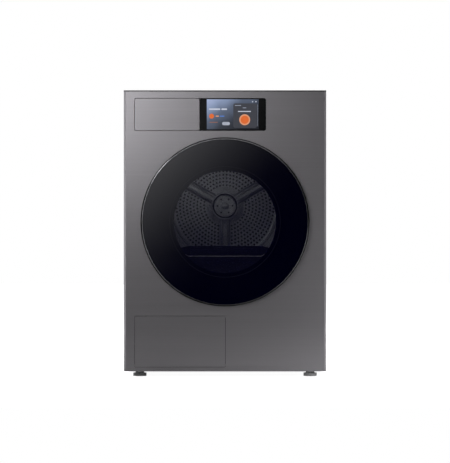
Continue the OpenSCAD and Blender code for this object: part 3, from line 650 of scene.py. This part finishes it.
def throat_lip():
    """A thin light strip along the flat lip in front of the filter, turned up at both ends: a painted
    highlight for the lit edge of the lip.
    """
    bm = bmesh.new()
    lip = filter_high.z - 0.029
    half = 0.108
    rise = 0.012
    thick = 0.0020
    run = rise / math.tan(math.radians(30))
    upper = [(-half - run, lip + rise), (-half, lip), (half, lip), (half + run, lip + rise)]
    lower = [(x, z - thick) for x, z in reversed(upper)]
    outline_solid(bm, upper + lower, bowl_back + 0.0006, bowl_back + 0.0022)
    # The light strip is a painted highlight on the lip's edge.
    piece("throat_lip_painted_highlight", bm, "light_plastic", "cabinet")


perforated_plate()
drum_rear()
drum_hub()
drum_dark_void()
throat_lip()


# ------------------------------------------------------------------ lint filter

def filter_top():
    """The filter's boat-shaped top with its row of fine slots, over the mesh-covered body."""
    bm = bmesh.new()
    half = (filter_high.x - filter_low.x) / 2
    front_z = filter_high.z - 0.027
    top_front = Vector((0, filter_low.y, front_z))
    top_back = Vector((0, filter_high.y, filter_high.z))
    slope = top_back - top_front
    slots = 58
    rows = 3
    first_row, row_pitch, slot_length = 0.16, 0.26, 0.15
    margin = 0.008
    pitch = (2 * half - 2 * margin) / slots
    bands = [0.0]
    for row in range(rows):
        start = first_row + row * row_pitch
        bands += [start, start + slot_length]
    bands.append(1.0)
    for lower, upper in zip(bands, bands[1:]):
        is_slot_row = abs((upper - lower) - slot_length) < 1e-6
        if not is_slot_row:
            strip(bm, -half, half, top_front, slope, lower, upper)
            continue
        strip(bm, -half, -half + margin, top_front, slope, lower, upper)
        strip(bm, half - margin, half, top_front, slope, lower, upper)
        for k in range(slots):
            x = -half + margin + k * pitch
            strip(bm, x + pitch * 0.55, x + pitch, top_front, slope, lower, upper)
    made = piece("filter_grille", bm, "filter_plastic", "filter")
    thick = made.modifiers.new("thickness", "SOLIDIFY")
    thick.thickness = 1.2 * MM
    thick.offset = -1.0


def strip(bm, x0, x1, origin, slope, lower, upper):
    """A flat strip of the sloping top, between two fractions of its slope."""
    a, b = origin + slope * lower, origin + slope * upper
    bm.faces.new([bm.verts.new((x0, a.y, a.z)), bm.verts.new((x1, a.y, a.z)),
                  bm.verts.new((x1, b.y, b.z)), bm.verts.new((x0, b.y, b.z))])


# ------------------------------------------------------------------ display

SCREEN_FRONT = screen_low.y
GLOW = {
    "white": glow("glow_white", (0.62, 0.66, 0.78)),
    "pale": glow("glow_pale", (0.36, 0.40, 0.50)),
    "orange": glow("glow_orange", (0.80, 0.16, 0.035)),
    "amber": glow("glow_amber", (0.80, 0.36, 0.20)),
    "blue": glow("glow_blue", (0.10, 0.22, 0.62)),
    "amber_dim": glow("glow_amber_dim", (0.30, 0.13, 0.09)),
    "card": glow("glow_card", (0.055, 0.058, 0.072)),
    "button": glow("glow_button", (0.44, 0.47, 0.56)),
}
screen_w = screen_high.x - screen_low.x
screen_h = screen_high.z - screen_low.z


def on_screen(name, material, u0, u1, v0, v1, corner=0.5, lift=1):
    """A flat rounded shape on the screen, from fractions of its width and, downwards, its height."""
    bm = bmesh.new()
    x0, x1 = screen_low.x + u0 * screen_w, screen_low.x + u1 * screen_w
    z0, z1 = screen_high.z - v1 * screen_h, screen_high.z - v0 * screen_h
    radius = corner * min(x1 - x0, z1 - z0) * 0.999
    y = SCREEN_FRONT - 0.00006 * lift
    outline_solid(bm, rounded(x0, x1, z0, z1, radius, 8), y, y + 0.00005)
    piece(name, bm, GLOW[material], "cabinet", slot="screen_glass")


def screen_picture():
    """Plain shapes for a washing-programme page: bars, buttons and a dial, with no lettering."""
    on_screen("screen_bar_title", "white", 0.04, 0.26, 0.305, 0.355)
    on_screen("screen_bar_title_end", "white", 0.28, 0.39, 0.305, 0.355)
    on_screen("screen_dot_programme", "orange", 0.045, 0.140, 0.480, 0.645)
    on_screen("screen_bar_amber", "amber", 0.17, 0.235, 0.545, 0.58)
    on_screen("screen_bar_blue", "blue", 0.25, 0.34, 0.545, 0.58)
    on_screen("screen_pill", "button", 0.295, 0.445, 0.755, 0.865)
    on_screen("screen_bar_footer", "amber_dim", 0.05, 0.21, 0.755, 0.78)
    on_screen("screen_card", "card", 0.51, 0.965, 0.135, 0.955, 0.09)
    on_screen("screen_card_bar_top", "pale", 0.54, 0.66, 0.195, 0.215, lift=2)
    on_screen("screen_card_bar_middle", "pale", 0.69, 0.76, 0.275, 0.295, lift=2)
    on_screen("screen_card_bar_name", "white", 0.60, 0.85, 0.39, 0.42, lift=2)
    on_screen("screen_dial_rim", "amber", 0.625, 0.835, 0.50, 0.865, lift=2)
    on_screen("screen_dial", "orange", 0.650, 0.810, 0.543, 0.822, lift=3)
    on_screen("screen_edge_line", "pale", 0.977, 0.982, 0.17, 0.90)
    on_screen("screen_dot_left", "white", 0.870, 0.893, 0.06, 0.10)
    on_screen("screen_dot_right", "white", 0.935, 0.958, 0.06, 0.10)


screen_picture()
filter_top()


# ------------------------------------------------------------------ camera, floor and light

def aim(obj, target):
    obj.rotation_euler = (Vector(target) - obj.location).to_track_quat("-Z", "Y").to_euler()


def camera():
    """A long lens, level with the middle of the picture, straight in front."""
    distance = 5.3
    picture_middle_below_top = 0.4183
    centre_z = cover_high.z - picture_middle_below_top
    data = bpy.data.cameras.new("camera")
    data.sensor_fit = "HORIZONTAL"
    data.sensor_width = 36.0
    data.lens = 143.1
    made = bpy.data.objects.new("camera", data)
    made.location = (0.0, front_y - distance, centre_z)
    aim(made, (0.0, 0.0, centre_z))
    bpy.context.scene.collection.objects.link(made)
    bpy.context.scene.camera = made


def area_light(name, place, target, size, watts):
    data = bpy.data.lights.new(name, "AREA")
    data.shape = "RECTANGLE"
    data.size, data.size_y = size
    data.energy = watts
    made = bpy.data.objects.new(name, data)
    made.location = place
    aim(made, target)
    made.visible_camera = False
    bpy.context.scene.collection.objects.link(made)


def floor():
    """Pale paper that is white to the camera; what mirrors it sees a dim sheet, brighter to the right."""
    size = 9.0
    bm = bmesh.new()
    near = -1.2
    corners = [(-size, near), (size, near), (size, size), (-size, size)]
    bm.faces.new([bm.verts.new((x, y, 0.0)) for x, y in corners])
    mesh = bpy.data.meshes.new("floor")
    bm.to_mesh(mesh)
    bm.free()
    made = bpy.data.objects.new("floor", mesh)
    bpy.context.scene.collection.objects.link(made)
    s = Shader("floor_paper", (0.93, 0.93, 0.93), 0.8)
    s.put("Emission Color", (1.0, 1.0, 1.0, 1.0))
    seen = s.node("ShaderNodeLightPath").outputs["Is Camera Ray"]
    grey = s.mix(seen, (0.22, 0.22, 0.22), (0.93, 0.93, 0.93))
    s.join(grey, s.bsdf.inputs["Base Color"])
    to_the_right = s.spread(s.axes()[0], 0.0, 0.46, -0.25, 0.7)
    s.join(s.math("MAXIMUM", to_the_right, s.math("MULTIPLY", seen, 0.96)),
           s.bsdf.inputs["Emission Strength"])
    mesh.materials.append(s.material)


def world():
    """White round the object; what lights and mirrors in it is dim in front and brighter behind."""
    scene_world = bpy.data.worlds.new("studio")
    bpy.context.scene.world = scene_world
    scene_world.use_nodes = True
    tree = scene_world.node_tree
    tree.nodes.clear()
    out = tree.nodes.new("ShaderNodeOutputWorld")
    white = tree.nodes.new("ShaderNodeBackground")
    white.inputs["Color"].default_value = (1, 1, 1, 1)
    white.inputs["Strength"].default_value = 1.0
    room = tree.nodes.new("ShaderNodeBackground")

    def step(operation, first, second):
        made = tree.nodes.new("ShaderNodeMath")
        made.operation = operation
        for k, value in enumerate((first, second)):
            if isinstance(value, (int, float)):
                made.inputs[k].default_value = value
            else:
                tree.links.new(value, made.inputs[k])
        return made.outputs[0]

    where = tree.nodes.new("ShaderNodeTexCoord")
    parts = tree.nodes.new("ShaderNodeSeparateXYZ")
    tree.links.new(where.outputs["Generated"], parts.inputs[0])
    behind = step("MULTIPLY", step("ADD", parts.outputs[1], 0.99), 0.10)
    above = step("MULTIPLY", step("MAXIMUM", step("SUBTRACT", parts.outputs[2], 0.6), 0.0), 1.3)
    # A far soft window, small and in front, whose upper left is the brightest
    front_cone = -0.9965
    window_strength = 1.42
    slant = step("SUBTRACT", parts.outputs[2], parts.outputs[0])
    rise = step("MULTIPLY", step("ADD", slant, 0.0080), 13.9)
    near_front = step("LESS_THAN", parts.outputs[1], front_cone)
    glow_shape = step("POWER", step("MINIMUM", step("MAXIMUM", rise, 0.0), 1.15), 2.5)
    window = step("MULTIPLY", step("MULTIPLY", glow_shape, near_front), window_strength)
    ambient = step("ADD", step("MAXIMUM", behind, 0.0), above)
    tree.links.new(step("ADD", ambient, window), room.inputs["Strength"])
    seen = tree.nodes.new("ShaderNodeLightPath")
    mix = tree.nodes.new("ShaderNodeMixShader")
    join = tree.links.new
    join(seen.outputs["Is Camera Ray"], mix.inputs[0])
    join(room.outputs[0], mix.inputs[1])
    join(white.outputs[0], mix.inputs[2])
    join(mix.outputs[0], out.inputs["Surface"])


camera()
floor()
world()
area_light("key_left", (-0.95, -2.6, 1.32), (-0.1, front_y, 0.55), (0.8, 1.2), 12.5)
area_light("fill_low_right", (1.1, -2.2, 0.2), (0.1, front_y, 0.25), (0.4, 0.4), 1.5)
area_light("fill_low_left", (-1.3, -2.0, 0.12), (-0.25, front_y, 0.0), (0.4, 0.2), 0.6)
area_light("edge_left", (-2.8, -1.45, 0.7), (-0.3, front_y, 0.45), (0.35, 2.0), 7)
area_light("edge_right", (2.8, -1.45, 0.7), (0.3, front_y, 0.45), (0.35, 2.0), 3)
area_light("drum_lamp", (-0.05, -0.19, 0.60), (0.0, plate_low.y, drum_z), (0.28, 0.1), 0.115)
area_light("top_soft", (0.0, 1.4, 2.7), (0.0, 0.3, 0.0), (2.2, 2.0), 80)
area_light("side_left", (-2.8, 2.0, 1.3), (0.0, 0.0, 0.4), (1.4, 1.4), 60)
area_light("upper_left", (-1.9, 0.35, 2.1), (0.0, -0.3, 0.45), (1.3, 0.9), 20)
area_light("side_right", (2.8, 2.2, 1.2), (0.0, 0.0, 0.4), (1.4, 1.4), 50)
area_light("back_soft", (0.6, 3.2, 1.8), (0.0, 0.3, 0.4), (2.0, 2.0), 70)

scene = bpy.context.scene
scene.view_settings.view_transform = "Standard"
scene.view_settings.look = "None"

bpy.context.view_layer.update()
